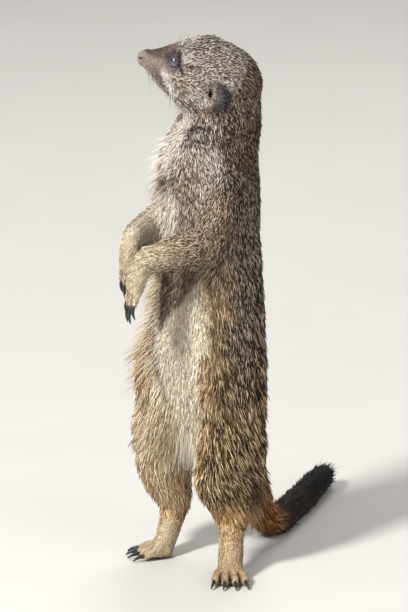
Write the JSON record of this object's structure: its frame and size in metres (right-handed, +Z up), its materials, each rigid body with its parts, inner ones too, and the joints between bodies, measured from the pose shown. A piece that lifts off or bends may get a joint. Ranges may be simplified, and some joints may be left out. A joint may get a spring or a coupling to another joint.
{
  "type": "meerkat",
  "caption": "Life-size meerkat standing upright on its hind feet and tail, head turned to its right, nose raised and forepaws hanging before the chest; a still museum-like model.",
  "frame": {"origin": "middle of the body's box in plan, at the floor", "axes": "+Z up the standing body, -Y the way the chest and feet face, +X the animal's left"},
  "size_m": [0.1028, 0.214, 0.2882],
  "materials": {
    "grizzled_coat": "short grizzled grey-brown fur with pale and dark banded hair tips",
    "pale_coat": "short cream to pale tan fur",
    "tawny_coat": "orange-tan fur",
    "dark_coat": "blackish brown fur of the tail's tip",
    "ear_skin": "dark bare skin of the ear rim",
    "nose_skin": "moist pinkish-brown bare nose",
    "claw": "smooth blue-black horn",
    "eye": "wet dark brown eye"
  },
  "bodies": {
    "root": {"eye_left": "eye", "claw_fore_left_1": "claw", "claw_fore_left_2": "claw", "claw_fore_left_3": "claw", "claw_fore_left_4": "claw", "claw_hind_left_1": "claw", "claw_hind_left_2": "claw", "claw_hind_left_3": "claw", "claw_hind_left_4": "claw", "eye_right": "eye", "claw_fore_right_1": "claw", "claw_fore_right_2": "claw", "claw_fore_right_3": "claw", "claw_fore_right_4": "claw", "claw_hind_right_1": "claw", "claw_hind_right_2": "claw", "claw_hind_right_3": "claw", "claw_hind_right_4": "claw", "nose": "nose_skin", "head": "grizzled_coat", "trunk": "grizzled_coat", "neck": "grizzled_coat", "ear_left": "ear_skin", "upper_arm_left": "grizzled_coat", "forearm_left": "pale_coat", "forepaw_left": "pale_coat", "thigh_left": "grizzled_coat", "shank_left": "tawny_coat", "hind_paw_left": "pale_coat", "ear_right": "ear_skin", "upper_arm_right": "grizzled_coat", "forearm_right": "pale_coat", "forepaw_right": "pale_coat", "thigh_right": "grizzled_coat", "shank_right": "tawny_coat", "hind_paw_right": "pale_coat", "tail_root": "tawny_coat", "tail_middle": "tawny_coat", "tail_tip": "dark_coat"}
  },
  "joints": []
}
